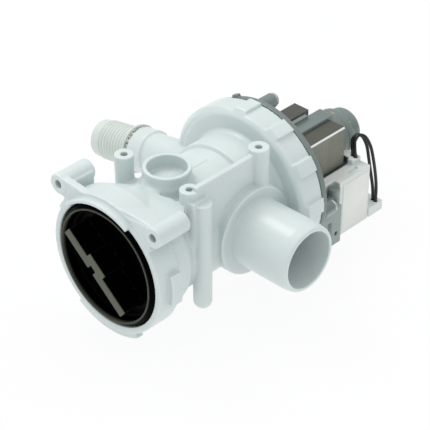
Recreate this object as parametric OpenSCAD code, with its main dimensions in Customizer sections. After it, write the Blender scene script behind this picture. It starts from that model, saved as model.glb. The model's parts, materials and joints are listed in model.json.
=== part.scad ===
// Washer drain pump with a front filter and a wet-rotor synchronous motor, in millimetres.
// The pump axis runs along Y: filter mouth in front, motor behind. X points out of the inlet, Z is up.

/* [Filter mouth] */
// Inside radius of the mouth that takes the filter cap
mouth_r = 35; // [33:0.5:40]
// Wall of the mouth ring
mouth_wall = 3.5; // [2.5:0.5:6]
// Length of the mouth ring along the pump axis
mouth_len = 14; // [11:1:20]
// How far the drip lip under the mouth stands out of the ring
lip_rise = 3; // [1:0.2:3.6]
// How far the hood over the mouth reaches ahead of the ring
hood_reach = 3; // [1:0.5:6]

/* [Filter chamber] */
// Outside radius of the filter chamber
chamber_r = 31; // [29:0.5:33]
// Wall of the chamber
chamber_wall = 2.6; // [2:0.2:4]
// Outside radius of the raised band at the rear of the chamber
band_r = 33.2; // [32:0.2:36]
// Length of that band
band_len = 18; // [10:1:24]

/* [Volute] */
// Distance from the mouth to the front face of the volute
volute_y = 98.5; // [96:0.5:110]
// Depth of the volute from its front face to its rear flange
volute_depth = 16; // [14:0.5:22]
// Outside radius of the volute
volute_r = 45; // [44.5:0.5:50]
// How far the scroll bulges towards the outlet
scroll_shift = 4.5; // [1:0.5:6]
// Radius of the hollow that the impeller runs in
cavity_r = 33; // [30:0.5:33]
// Radius of the eye between chamber and volute
eye_r = 13; // [8:0.5:16]
// Raised pads around the volute rim
pad_count = 12; // [6:1:14]
// Height of a rim pad
pad_rise = 2; // [0.6:0.2:2.4]
// Width of a rim pad as an angle
pad_angle = 10.5; // [8:0.5:16]
// Height of the pump axis above the flat that the pump stands on
axis_height = 42; // [41:0.5:44]

/* [Inlet] */
// Outside radius of the inlet spigot
inlet_r = 19; // [17:0.5:20]
// Wall of the inlet spigot
inlet_wall = 3; // [2:0.5:4]
// Distance from the mouth to the inlet axis
inlet_y = 74.6; // [70:0.2:76]
// Reach of the inlet spigot from the pump axis
inlet_reach = 71; // [60:1:90]
// How far the base flange stands out beyond the spigot
inlet_flange_rise = 6; // [2:0.5:7]

/* [Outlet] */
// Distance from the mouth to the outlet axis
outlet_y = 101; // [100:0.2:101]
// Height at which the outlet axis crosses the pump's middle plane
outlet_z = 3.6; // [2:0.2:4]
// Downward tilt of the outlet
outlet_tilt = 10.8; // [8:0.2:12]
// Outside radius of the socket at the end of the outlet stub
stub_r = 13.3; // [13:0.1:13.4]
// Wall of that socket
stub_wall = 2.6; // [2.2:0.1:2.8]
// Length of that socket
socket_len = 10; // [9.5:0.5:14]
// Reach of the outlet stub from the pump's middle plane
stub_reach = 79; // [74:1:90]
// Length of the outlet spigot from the stub to its end
spigot_len = 33.6; // [33:0.2:46]
// Outside radius of the outlet spigot between its ribs
spigot_r = 11; // [10.4:0.1:11.6]
// Bore radius of the outlet spigot
spigot_bore_r = 8.6; // [7:0.1:8.8]
// Hose ribs on the outlet spigot
rib_count = 10; // [4:1:10]
// Spacing of those ribs
rib_pitch = 2.4; // [1.8:0.1:2.5]
// Height of a hose rib
rib_rise = 0.7; // [0.3:0.1:1]

/* [Ports, bosses and ears] */
// Distance from the mouth to the top port
port_y = 44.2; // [42:0.2:48]
// Outside radius of the top port
port_r = 12.7; // [11:0.1:13.4]
// Wall of the top port
port_wall = 2.2; // [1.6:0.1:3]
// Height of the top port's rim above the pump axis
port_z = 39.5; // [38:0.5:46]
// Half the spacing of the two bosses beside the top port
boss_x = 23.5; // [22:0.5:26]
// Distance from the mouth to those bosses
boss_y = 36.5; // [34:0.5:38]
// Radius of those bosses
boss_r = 5.2; // [4.4:0.1:6]
// Height of those bosses above the pump axis
boss_z = 40; // [38.5:0.5:46]
// Distance from the mouth to the tall boss
tall_boss_y = 83.5; // [80:0.5:86]
// Height of the tall boss above the pump axis
tall_boss_z = 45; // [43:0.5:52]
// Radius of the tall boss
tall_boss_r = 5.6; // [4.4:0.1:6.4]
// Radius of the screw holes in the bosses
boss_hole_r = 1.9; // [1.2:0.1:2.4]
// Depth of the screw holes in the bosses
boss_hole_depth = 14; // [8:1:18]
// Half the spacing of the mounting ears
ear_x = 34; // [32:0.5:40]
// Height of the ear holes above the pump axis
ear_z = 33.8; // [33:0.2:36]
// Radius of an ear
ear_r = 5.6; // [5:0.2:6.6]
// Length of an ear along the pump axis
ear_len = 21; // [16:1:26]
// Radius of the ear holes
ear_hole_r = 2.3; // [1.5:0.1:3]
// Thickness of the deck between ears and bosses
deck_t = 3.5; // [2.5:0.5:5]
// Radius of the peg foot beside the chamber
foot_r = 5; // [4:0.2:6]
// How far the peg foot reaches below the pump axis
foot_drop = 26; // [20:1:34]

/* [Filter] */
// Gap between the cap and the mouth
cap_gap = 0.4; // [0.3:0.1:0.8]
// Radius of the dished front of the cap
dish_r = 31.2; // [28:0.2:32]
// Depth of the dished front
dish_depth = 7; // [4:0.5:9]
// Height of the grip bar above the cap's rim
grip_rise = 7; // [3:0.5:10]
// Thickness of the grip bar
grip_t = 4.8; // [3:0.2:6]
// Length of the grip bar
grip_len = 51; // [36:1:52]
// Sideways step in the middle of the grip bar
grip_step = 3.4; // [2.6:0.2:7]
// Length of the plug behind the cap
plug_len = 9; // [7:0.5:12]
// Section of the cap seal along the axis
seal_w = 3.2; // [2:0.2:4]
// Length of the basket behind the plug
basket_len = 64; // [40:1:66]
// Bars of the basket
basket_bars = 9; // [5:1:12]
// Radius of a basket bar
bar_r = 1.6; // [1:0.1:2]

/* [Motor plate and can] */
// Radius of the motor plate
plate_r = 45.5; // [45:0.5:50]
// Thickness of the motor plate
plate_t = 3.2; // [2.5:0.1:5]
// Radius of the screw circle
screw_circle_r = 40; // [39.6:0.1:40.4]
// Length of the screw bosses behind the plate
screw_boss_len = 11; // [6:0.5:14]
// Radius of a screw's shank
screw_r = 1.45; // [1:0.05:1.6]
// Outside radius of the rotor can
can_r = 13.5; // [12.8:0.1:14]
// Wall of the rotor can
can_wall = 1.3; // [1:0.1:1.6]
// Distance from the plate to the rear end of the can
can_len = 70; // [66:1:80]
// Height of the saddle on top of the can above the pump axis
saddle_z = 19.5; // [16:0.5:22]

/* [Rotor and impeller] */
// Radius of the rotor shaft
shaft_r = 2; // [1.5:0.1:2.5]
// Gap between the rotor magnet and the can
magnet_gap = 1; // [0.6:0.1:2]
// Running clearance of the shaft in its bushes
shaft_play = 0.04; // [0.02:0.01:0.08]
// Radius of the impeller
impeller_r = 26; // [20:0.5:28]
// Blades of the impeller
blade_count = 6; // [3:1:8]
// Thickness of a blade
blade_t = 1.8; // [1:0.1:3]
// Width of the drive dog and of its stop, as an angle
dog_angle = 40; // [20:2:40]

/* [Stator and coils] */
// Distance from the plate to the laminations
core_gap = 15; // [13:0.5:17]
// Thickness of the lamination stack
core_len = 30; // [24:0.5:31]
// Half the width across the pole legs
core_x = 19; // [18:0.5:21]
// Height of the pole legs above the pump axis
core_z = 17.5; // [16:0.5:19]
// Height of the yoke
yoke_h = 8.5; // [6:0.5:9]
// Thickness of a coil around its leg
coil_t = 4; // [2:0.2:4.4]

/* [Coil cover and leads] */
// Half the width of the coil cover
cover_x = 31; // [30:0.5:36]
// Wall of the coil cover
cover_wall = 1.8; // [1.2:0.1:2.4]
// Depth of the cover's top below the pump axis
cover_top_drop = 6; // [5:0.5:8]
// How far the cover reaches behind the laminations
cover_tail = 9; // [8.5:0.5:14]
// Width of the connector block
connector_w = 12; // [11:0.5:16]
// Depth of the connector block along the pump axis
connector_d = 12; // [11.5:0.5:18]
// Height of the connector block
connector_h = 6; // [5.5:0.5:8]
// Diameter of one lead
lead_d = 2; // [1.4:0.1:2.4]

/* [Hidden] */
$fn = 64;
fit_gap = 0.3;
slip_gap = 0.05;

// Radii that follow from the walls
ring_r = mouth_r + mouth_wall;
chamber_in_r = chamber_r - chamber_wall;
band_front_y = volute_y - band_len - 1;
flange_y = volute_y + volute_depth;
cavity_y = volute_y + chamber_wall;
inlet_bore_r = inlet_r - inlet_wall;
inlet_flange_r = inlet_r + inlet_flange_rise;
inlet_flange_x = band_r + fit_gap;
lead_in_len = 5.5;
lead_in_drop = 0.7;
stub_bore_r = stub_r - stub_wall;
stub_tube_r = stub_r - 1.5;
tail_len = 8;
tail_r = stub_bore_r - slip_gap;
tail_groove_at = 5;
tail_groove_w = 2;
groove_r = tail_r - 0.9;
clip_ring_t = 2.2;
shoulder_r = stub_r + 0.9;
shoulder_t = 1.2;
first_rib_at = clip_ring_t + shoulder_t + 0.6;
port_bore_r = port_r - port_wall;
port_floor_z = chamber_r + 1.2;
port_base_r = port_r + 1;
port_base_z = chamber_r + 2.4;
tall_boss_x = boss_x + 3.5;
rib_wall_t = 3;
rib_foot_z = chamber_r / 3;
rib_wall_z = tall_boss_z - 2.5;
deck_z = ear_z + ear_r;
deck_tilt = 13;
brow_r = ring_r + 1.6;
foot_x = chamber_r - 0.5;
foot_y = boss_y + 2;
end_chamfer = 1;
first_pad_at = 4;

// Trim of the mouth ring, with its angles about the pump axis
hood_from = 60;
hood_sweep = 74;
lip_y = 0.6;
lip_len = 4.4;
lip_from = 236;
lip_sweep = 64;
bump_rise = 3;
bump_len = 7;
bumps_from = [-12, 166];
bump_sweep = 26;

// Filter
cap_front_y = -1.3;
cap_r = mouth_r - cap_gap;
cap_back_y = mouth_len - 0.4;
cap_floor_t = 2.6;
plug_r = chamber_in_r - cap_gap;
plug_end_y = cap_back_y + plug_len;
seal_in_r = plug_r - 1.8;
seal_y = cap_back_y + plug_len / 2;
grip_turn = -40;
grip_jog_len = 9;
grip_jog_at = -2;
basket_r = plug_r - 2.2;
basket_ring_w = 4;
basket_ring_t = 3;
basket_gap_angle = 100;

// Motor
plate_gap = 0.3;
plate_y = flange_y + plate_gap;
plate_back_y = plate_y + plate_t;
screw_angles = [97, -13, 205];
screw_boss_r = 4.2;
pocket_in_r = cavity_r + 3.6;
pocket_out_r = volute_r - 2.6;
screw_hole_depth = volute_depth - 5;
screw_head_r = 3.6;
screw_head_h = 2.6;
plate_seal_r = cavity_r + 1;
plate_seal_w = 1.6;
can_in_r = can_r - can_wall;
can_end_y = plate_back_y + can_len;
can_round = 3.5;
rear_cap_r = can_r - 1.8;
rear_cap_len = 9;
rear_step_y = can_end_y - rear_cap_len;
collar_r = can_r + 0.5;
collar_len = 4;
saddle_tail = 3;
ridge_t = 2.6;
ridge_rise = 2;
holder_r = 9;
holder_len = 10;
holder_y = can_end_y - 8 - holder_len;
bush_r = 4;
bush_len = 6;
bearing_plate_t = 5;

// Rotor
core_y = plate_back_y + core_gap;
core_end_y = core_y + core_len;
magnet_r = can_in_r - magnet_gap;
shaft_front_y = cavity_y + 0.6;
shaft_end_y = holder_y + holder_len - 1;
clip_y = cavity_y + 1;
clip_t = 1;
impeller_y = clip_y + clip_t + 0.4;
impeller_h = plate_y - impeller_y - 1.2;
hub_r = 9;
hub_front_t = 2;
hub_cavity_r = 6.6;
disc_t = 1.6;
dog_r = hub_cavity_r - 0.4;
dog_hub_r = shaft_r + 1.3;
stop_in_r = dog_hub_r + 0.3;

// Stator
pole_r = can_r + 0.6;
leg_in_x = can_r - 0.5;
cover_bottom_z = -axis_height;
cover_top_z = -cover_top_drop;
core_bottom_z = cover_bottom_z + cover_wall + 2;
yoke_top_z = core_bottom_z + yoke_h;
bobbin_t = 1;
coil_top_z = -can_r - 1.5;
pole_bevel = 0.8;
saddle_half_w = 7.5;
pole_tip_x = saddle_half_w + fit_gap;
rivet_r = 1.5;
rivet_head_r = 2.4;
rivet_head_h = 0.9;

// Cover
cover_front_y = core_y - coil_t - 2 * bobbin_t - cover_wall - 1;
cover_end_y = core_end_y + cover_tail;
cover_notch_x = 26.8;
cover_notch_len = 13;
cover_notch_y = core_y + cover_notch_len;
cover_notch_drop = 11;
cover_notch_z = cover_top_z - cover_notch_drop;
slot_x = cover_x - 4;
outlet_boss_x = 19;
outlet_boss_w = 11;
outlet_boss_d = 8;
outlet_boss_rise = 3.5;
outlet_boss_z = cover_top_z + outlet_boss_rise;
label_t = 0.3;
label_inset = 3;
connector_x = cover_x + 1 - connector_w;
connector_z = cover_bottom_z + 1;
connector_wall = 1.6;
socket_depth = 9;
tab_w = 3.2;
tab_t = 0.8;
tab_gap = 0.8;

// Peg and bracket on the motor plate
peg_r = 3.2;
peg_x = cover_notch_x + peg_r + 0.6;
peg_y = cover_notch_y - peg_r - 0.8;
bracket_x = 35;
bracket_t = 3;
bracket_len = 22;
bracket_top_z = -13.5;
bracket_low_z = -38;
bracket_w = 8;
bracket_arm_h = 8;

// Lead route, from the cover's lead outlet over to the connector
lead_from = [20.8, cover_end_y - 3, outlet_boss_z - 1];
lead_to = [connector_x + connector_w - 4.4, cover_end_y + 8.8, connector_z + connector_h - 1];
lead_route = [
    lead_from, lead_from + [-1, 0.2, 5], lead_from + [-2.2, 1.6, 9.6], lead_from + [-1.6, 4.4, 11.6],
    lead_from + [0.4, 7, 10], lead_from + [2.2, 9, 4], lead_from + [3.4, 9.8, -3.6],
    lead_to + [-2.6, -0.2, 18], lead_to + [-0.9, 0.1, 9], lead_to
];
lead_step = [2.2, -0.5, 0.9];
lead_apart = [1, 1, 1, 1, 1.2, 1.5, 1.8, 1.8, 1.4, 1];
lead_sides = 8;
lead_hole_depth = 12;
lead_rings_between = 2;

// The whole pump is moved so that its origin is under the middle of its box
front_y = cap_front_y - grip_rise;
outlet_end_x = (stub_reach + spigot_len) * cos(outlet_tilt) + (spigot_r - end_chamfer) * sin(outlet_tilt);
origin_x = (inlet_reach - outlet_end_x) / 2;
origin_y = (front_y + can_end_y) / 2;

// Moves a piece from the pump axis to the part's own origin
module place() {
    translate([-origin_x, -origin_y, axis_height]) children();
}

// Turns a profile of radius and distance along Y about the pump axis, from one angle through another
module revolve_y(start = 0, sweep = 360) {
    rotate([-90, 0, 0]) rotate([0, 0, -(start + sweep)]) rotate_extrude(angle = sweep) children();
}

// A ring about the pump axis
module ring_y(r_in, r_out, y, len, start = 0, sweep = 360) {
    revolve_y(start, sweep) translate([r_in, y]) square([r_out - r_in, len]);
}

module rod_y(r, y, len) {
    translate([0, y, 0]) rotate([-90, 0, 0]) cylinder(r = r, h = len);
}

module rod_x(r, x, len) {
    translate([x, 0, 0]) rotate([0, 90, 0]) cylinder(r = r, h = len);
}

// Extrudes an outline of X and Z between two distances along Y
module slab_y(y, len) {
    translate([0, y + len, 0]) rotate([90, 0, 0]) linear_extrude(len) children();
}

module box(low, high) {
    translate(low) cube(high - low);
}

// Puts children at each motor screw
module at_screws() {
    for (angle = screw_angles) {
        translate([screw_circle_r * cos(angle), 0, screw_circle_r * sin(angle)]) children();
    }
}

// Everything below the flat that the pump stands on
module below_floor() {
    reach = 4 * plate_r;
    translate([-reach / 2, 0, -axis_height - reach]) cube([reach, can_end_y, reach]);
}

// Outside and inside of the chamber and volute as one turned shell
module housing_shell() {
    taper_y = mouth_len + 3;
    neck_y = taper_y + 14;
    revolve_y() polygon([
        [mouth_r, 0], [ring_r, 0], [ring_r, mouth_len], [chamber_r + 5, taper_y],
        [chamber_r + 2.5, neck_y - 4], [chamber_r, neck_y], [chamber_r, band_front_y],
        [band_r, band_front_y + 1.2], [band_r, volute_y - 2.5], [band_r + 1.5, volute_y],
        [volute_r - 2, volute_y], [volute_r, volute_y + 2], [volute_r, flange_y],
        [cavity_r, flange_y], [cavity_r, cavity_y], [eye_r, cavity_y], [eye_r, volute_y],
        [chamber_in_r, volute_y], [chamber_in_r, mouth_len], [mouth_r, mouth_len]
    ]);
}

// Hood, drip lip and the two arched bumps on the mouth ring
module mouth_trim() {
    ring_y(mouth_r + 0.8, ring_r - 0.6, -hood_reach, hood_reach + 1, hood_from, hood_sweep);
    ring_y(ring_r - 1, ring_r + lip_rise, lip_y, lip_len, lip_from, lip_sweep);
    for (start = bumps_from) {
        ring_y(ring_r - 1, ring_r + bump_rise, mouth_len - bump_len - 0.5, bump_len, start, bump_sweep);
    }
}

module volute_pads() {
    for (k = [0:pad_count - 1]) {
        revolve_y(k * 360 / pad_count + first_pad_at - pad_angle / 2, pad_angle) polygon([
            [volute_r - 3, volute_y + 2.6], [volute_r - 0.4, volute_y + 1.6],
            [volute_r + pad_rise, volute_y + 4], [volute_r + pad_rise, flange_y - 0.6],
            [volute_r - 3, flange_y - 0.6]
        ]);
    }
}

// Ears, the brow over the mouth and the sloping deck between the inlet-side ear and the top port
module ears_and_deck() {
    for (side = [-1, 1]) {
        translate([side * ear_x, 0, ear_z]) rod_y(ear_r, 0, ear_len);
        slab_y(0.4, 4.2) polygon([
            [side * (ear_x - 14), ear_z - ear_r - 4], [side * ear_x, ear_z - ear_r + 0.6],
            [side * ear_x, ear_z + ear_r - 0.6], [side * (ear_x - 20), brow_r - 3]
        ]);
        box([side * (ear_x - 4.6) - 1.6, 1, ear_z - 10],
            [side * (ear_x - 4.6) + 1.6, ear_len - 1.5, ear_z + 2]);
    }
    revolve_y(38, 112) polygon([
        [mouth_r + 1, 0.6], [brow_r, 0.6], [brow_r, mouth_len],
        [chamber_r - 0.6, boss_y - 3.5], [chamber_r - 0.6, mouth_len + 1]
    ]);
    translate([0, 0.8, deck_z - deck_t]) rotate([-deck_tilt, 0, 0]) linear_extrude(deck_t) polygon([
        [-8, 0], [ear_x, 0], [ear_x, ear_len - 2], [boss_x, boss_y - 3], [0, boss_y - 7]
    ]);
}

// Bulge of the scroll towards the outlet
module scroll() {
    translate([-scroll_shift, 0, 0]) revolve_y() polygon([
        [0, volute_y + 0.6], [volute_r - 3, volute_y + 0.6], [volute_r - 0.3, volute_y + 3],
        [volute_r - 0.3, flange_y - 1.2], [0, flange_y - 1.2]
    ]);
}

// Bosses beside the top port, the tall boss, the rib between them and the peg foot
module bosses() {
    for (side = [-1, 1]) {
        translate([side * boss_x, boss_y, 0]) cylinder(r = boss_r, h = boss_z);
    }
    translate([tall_boss_x, tall_boss_y, rib_foot_z]) cylinder(r = tall_boss_r, h = tall_boss_z - rib_foot_z);
    box([tall_boss_x - rib_wall_t / 2, boss_y, 0],
        [tall_boss_x + rib_wall_t / 2, tall_boss_y, rib_wall_z]);
    translate([foot_x, foot_y, -foot_drop]) cylinder(r = foot_r, h = foot_drop + boss_z - 6);
    translate([foot_x, foot_y, -foot_drop]) sphere(r = foot_r);
    box([boss_x - 1, boss_y - boss_r + 0.6, 0], [foot_x, foot_y + foot_r - 0.4, boss_z - 4.5]);
}

module inlet_outside() {
    translate([0, inlet_y, 0]) {
        rod_x(inlet_flange_r, chamber_r / 3, inlet_flange_x - chamber_r / 3);
        rotate([0, 90, 0]) rotate_extrude() polygon([
            [0, chamber_r / 2], [inlet_r, chamber_r / 2], [inlet_r, inlet_reach - lead_in_len],
            [inlet_r - lead_in_drop, inlet_reach - end_chamfer],
            [inlet_r - lead_in_drop - end_chamfer, inlet_reach], [0, inlet_reach]
        ]);
    }
}

// Puts a piece onto the tilted outlet axis, measured out from the pump's middle plane
module on_outlet() {
    translate([0, outlet_y, outlet_z]) rotate([0, -90 - outlet_tilt, 0]) children();
}

module outlet_stub_outside() {
    on_outlet() rotate_extrude() polygon([
        [0, chamber_in_r + 1], [stub_tube_r, chamber_in_r + 1], [stub_tube_r, stub_reach - socket_len - 1],
        [stub_r, stub_reach - socket_len], [stub_r, stub_reach], [0, stub_reach]
    ]);
}

module port_outside() {
    foot_z = chamber_in_r + 0.5;
    translate([0, port_y, foot_z]) {
        cylinder(r = port_r, h = port_z - foot_z);
        cylinder(r = port_base_r, h = port_base_z - foot_z);
    }
}

module housing_hollows() {
    ring_y(0, chamber_in_r, mouth_len - 1, volute_y - mouth_len + 1);
    ring_y(0, mouth_r, -hood_reach - 1, mouth_len + hood_reach + 1);
    translate([0, inlet_y, 0]) rod_x(inlet_bore_r, 0, inlet_reach + 1);
    on_outlet() {
        translate([0, 0, stub_reach - tail_len - 0.6]) cylinder(r = stub_bore_r, h = tail_len + 2);
        translate([0, 0, chamber_in_r + 2.2]) cylinder(r = spigot_bore_r, h = stub_reach);
    }
    difference() {
        ring_y(pocket_in_r, pocket_out_r, cavity_y, volute_depth);
        at_screws() rod_y(screw_boss_r, volute_y, volute_depth + 2);
        on_outlet() translate([0, 0, chamber_in_r]) cylinder(r = stub_tube_r, h = volute_r);
    }
    translate([0, port_y, port_floor_z]) cylinder(r = port_bore_r, h = port_z);
    for (side = [-1, 1]) {
        translate([side * ear_x, 0, ear_z]) rod_y(ear_hole_r, -1, ear_len + 2);
        translate([side * boss_x, boss_y, boss_z - boss_hole_depth]) {
            cylinder(r = boss_hole_r, h = boss_hole_depth + 1);
        }
    }
    translate([tall_boss_x, tall_boss_y, tall_boss_z - boss_hole_depth]) {
        cylinder(r = boss_hole_r, h = boss_hole_depth + 1);
    }
    at_screws() rod_y(screw_r + slip_gap, flange_y - screw_hole_depth, screw_hole_depth + 1);
    ring_y(plate_seal_r - slip_gap, plate_seal_r + plate_seal_w + slip_gap,
        flange_y - plate_seal_w, plate_seal_w + 1);
    ring_y(0, cavity_r, cavity_y, volute_depth);
}

module pump_housing() {
    color("aliceblue") place() difference() {
        union() {
            housing_shell();
            mouth_trim();
            volute_pads();
            scroll();
            ears_and_deck();
            bosses();
            inlet_outside();
            outlet_stub_outside();
            port_outside();
        }
        housing_hollows();
        below_floor();
    }
}

module outlet_spigot() {
    color("honeydew") place() on_outlet() translate([0, 0, stub_reach]) {
        rotate_extrude() polygon([
            [spigot_bore_r, -tail_len], [tail_r, -tail_len],
            [tail_r, -tail_groove_at - tail_groove_w], [groove_r, -tail_groove_at - tail_groove_w],
            [groove_r, -tail_groove_at], [tail_r, -tail_groove_at],
            [tail_r, clip_ring_t], [shoulder_r, clip_ring_t], [shoulder_r, clip_ring_t + shoulder_t],
            [spigot_r, clip_ring_t + shoulder_t + 0.5], [spigot_r, spigot_len - end_chamfer],
            [spigot_r - end_chamfer, spigot_len], [spigot_bore_r, spigot_len]
        ]);
        for (k = [0:rib_count - 1]) {
            translate([0, 0, first_rib_at + k * rib_pitch]) rotate_extrude() polygon([
                [spigot_r - 0.4, 0], [spigot_r, 0], [spigot_r + rib_rise, rib_pitch * 0.25],
                [spigot_r + rib_rise, rib_pitch * 0.5], [spigot_r, rib_pitch * 0.75],
                [spigot_r - 0.4, rib_pitch * 0.75]
            ]);
        }
    }
}

// Split steel ring that shows between the socket and the spigot's shoulder
module outlet_retaining_ring() {
    color("dimgray") place() on_outlet() translate([0, 0, stub_reach]) difference() {
        cylinder(r = stub_r - 0.2, h = clip_ring_t);
        translate([0, 0, -1]) cylinder(r = tail_r + slip_gap, h = clip_ring_t + 2);
        translate([-3 * stub_r, -1.5, -1]) cube([3 * stub_r, 3, clip_ring_t + 2]);
    }
}

module outlet_seal() {
    color("black") place() on_outlet() translate([0, 0, stub_reach]) difference() {
        translate([0, 0, -tail_groove_at - tail_groove_w + slip_gap])
            cylinder(r = stub_bore_r - slip_gap, h = tail_groove_w - 2 * slip_gap);
        translate([0, 0, -tail_len]) cylinder(r = groove_r + slip_gap, h = tail_len);
    }
}

// Stepped grip bar across the cap, standing on the dish
module cap_grip() {
    rise = grip_rise + dish_depth + 1;
    end_a = -grip_len / 2;
    end_b = grip_len / 2;
    jog_a = grip_jog_at - grip_jog_len / 2;
    jog_b = grip_jog_at + grip_jog_len / 2;
    half = grip_t / 2;
    rotate([0, -grip_turn, 0]) translate([0, cap_front_y - grip_rise, 0]) {
        box([end_a, 0, -half], [jog_a + half, rise, half]);
        box([jog_b - half, 0, -half], [end_b, rise, half]);
        box([jog_a - half, 0, grip_step - half], [jog_b + half, rise, grip_step + half]);
        box([jog_a - half, 0, -half], [jog_a + half, rise, grip_step + half]);
        box([jog_b - half, 0, -half], [jog_b + half, rise, grip_step + half]);
    }
}

module filter_cap() {
    floor_y = cap_front_y + dish_depth;
    hollow_y = floor_y + cap_floor_t;
    color([0.06, 0.06, 0.06]) place() {
        revolve_y() polygon([
            [0, floor_y], [dish_r - 1, floor_y], [dish_r, floor_y - 1], [dish_r, cap_front_y],
            [dish_r + 0.8, cap_front_y], [cap_r, cap_front_y + 2.4], [cap_r, cap_back_y],
            [plug_r, cap_back_y], [plug_r, seal_y - seal_w / 2], [seal_in_r, seal_y - seal_w / 2],
            [seal_in_r, seal_y + seal_w / 2], [plug_r, seal_y + seal_w / 2], [plug_r, plug_end_y],
            [plug_r - 5, plug_end_y], [plug_r - 5, hollow_y], [0, hollow_y]
        ]);
        cap_grip();
    }
}

module cap_seal() {
    color([0.2, 0.2, 0.2]) place() {
        ring_y(seal_in_r + slip_gap, chamber_in_r - 0.25,
            seal_y - seal_w / 2 + slip_gap, seal_w - 2 * slip_gap);
    }
}

// Cage behind the cap, open on the side that faces the inlet
module filter_basket() {
    bar_at = basket_r - basket_ring_w / 2;
    sweep = 360 - basket_gap_angle;
    end_y = plug_end_y + basket_len;
    color([0.1, 0.1, 0.1]) place() {
        ring_y(basket_r - basket_ring_w, basket_r, plug_end_y, basket_ring_t);
        ring_y(basket_r - basket_ring_w, basket_r, end_y - basket_ring_t, basket_ring_t);
        for (k = [0:basket_bars - 1]) {
            angle = basket_gap_angle / 2 + k * sweep / (basket_bars - 1);
            translate([bar_at * cos(angle), 0, bar_at * sin(angle)]) {
                rod_y(bar_r, plug_end_y + 1, basket_len - 2);
            }
        }
    }
}

// Rotor can with its rounded rear end, open to the plate
module can_outside() {
    revolve_y() polygon(concat(
        [[0, plate_y], [can_r, plate_y], [can_r, rear_step_y - collar_len - 0.5],
            [collar_r, rear_step_y - collar_len], [collar_r, rear_step_y - 1], [can_r, rear_step_y],
            [rear_cap_r, rear_step_y]],
        [for (a = [0:15:90])
            [rear_cap_r - can_round * (1 - cos(a)), can_end_y - can_round * (1 - sin(a))]],
        [[0, can_end_y]]
    ));
}

// Saddle on the can between the pole legs, with its ridge
module can_saddle() {
    side_x = -saddle_half_w * 0.28;
    box([side_x, plate_back_y - 1, 0], [saddle_half_w, core_end_y + saddle_tail, saddle_z]);
    box([side_x, core_y + 4, saddle_z - 1], [side_x + ridge_t, core_end_y - 10, saddle_z + ridge_rise]);
}

module plate_bracket() {
    difference() {
        union() {
            box([bracket_x, plate_back_y - 1, bracket_top_z - bracket_arm_h],
                [bracket_x + bracket_t, plate_back_y + bracket_len, bracket_top_z]);
            box([bracket_x, plate_back_y + bracket_len - bracket_w, bracket_low_z],
                [bracket_x + bracket_t, plate_back_y + bracket_len, bracket_top_z]);
        }
        translate([0, plate_back_y + bracket_len - bracket_w / 2, bracket_low_z + 7]) {
            rod_x(1.2, bracket_x - 1, bracket_t + 2);
        }
    }
}

module plate_peg() {
    arm_low_z = cover_notch_z + 1;
    arm_top_z = arm_low_z + 4;
    translate([peg_x, peg_y, arm_low_z]) cylinder(r = peg_r, h = cover_top_z - 1 - arm_low_z);
    box([peg_x - 1.6, plate_back_y - 1, arm_low_z], [peg_x + 1.6, peg_y, arm_top_z]);
}

module motor_plate() {
    tab_angle = 115;
    color("slategray") place() difference() {
        union() {
            rod_y(plate_r, plate_y, plate_t);
            rotate([0, -tab_angle, 0]) {
                box([plate_r - 2, plate_y + 0.2, -2], [plate_r + 1.6, plate_back_y - 0.2, 2]);
            }
            can_outside();
            can_saddle();
            at_screws() rod_y(screw_boss_r, plate_y + 1, plate_t - 1 + screw_boss_len);
            plate_bracket();
            plate_peg();
        }
        rod_y(can_in_r, plate_y - 1, holder_y - plate_y + 1);
        rod_y(holder_r + slip_gap, holder_y - 1, holder_len + 1);
        at_screws() rod_y(screw_r + fit_gap, plate_y - 1, plate_t + screw_boss_len + 2);
        below_floor();
    }
}

module plate_seal() {
    color([0.15, 0.15, 0.15]) place() {
        ring_y(plate_seal_r, plate_seal_r + plate_seal_w, flange_y - plate_seal_w, plate_seal_w + plate_gap);
    }
}

// Pan-head screws with a cross slot, entered from behind the plate
module plate_screws() {
    head_y = plate_back_y + screw_boss_len;
    shank_y = flange_y - screw_hole_depth + 1;
    color("silver") place() at_screws() difference() {
        union() {
            rod_y(screw_r, shank_y, head_y - shank_y + 1);
            revolve_y() polygon([
                [0, head_y], [screw_head_r, head_y], [screw_head_r, head_y + screw_head_h * 0.6],
                [screw_head_r - 1, head_y + screw_head_h], [0, head_y + screw_head_h]
            ]);
        }
        for (turn = [0, 90]) {
            rotate([0, turn, 0]) box([-2.2, head_y + 1.2, -0.5], [2.2, head_y + screw_head_h + 1, 0.5]);
        }
    }
}

module bearing_plate() {
    color("dimgray") place() difference() {
        rod_y(can_in_r - slip_gap, plate_y, bearing_plate_t);
        rod_y(bush_r + slip_gap / 2, plate_y - 1, bearing_plate_t + 2);
    }
}

module shaft_bush(y) {
    difference() {
        rod_y(bush_r, y, bush_len);
        rod_y(shaft_r + shaft_play, y - 1, bush_len + 2);
    }
}

module front_bush() {
    color("tan") place() shaft_bush(plate_y);
}

module rear_bush() {
    color("tan") place() shaft_bush(holder_y + 2);
}

module rear_bush_holder() {
    color([0.12, 0.12, 0.12]) place() difference() {
        rod_y(holder_r, holder_y, holder_len);
        rod_y(bush_r + slip_gap / 2, holder_y - 1, holder_len + 2);
    }
}

module rotor_shaft() {
    color("lightsteelblue") place() rod_y(shaft_r, shaft_front_y, shaft_end_y - shaft_front_y);
}

module rotor_magnet() {
    color([0.25, 0.24, 0.24]) place() difference() {
        rod_y(magnet_r, core_y, core_len);
        rod_y(shaft_r + slip_gap / 2, core_y - 1, core_len + 2);
    }
}

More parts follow.
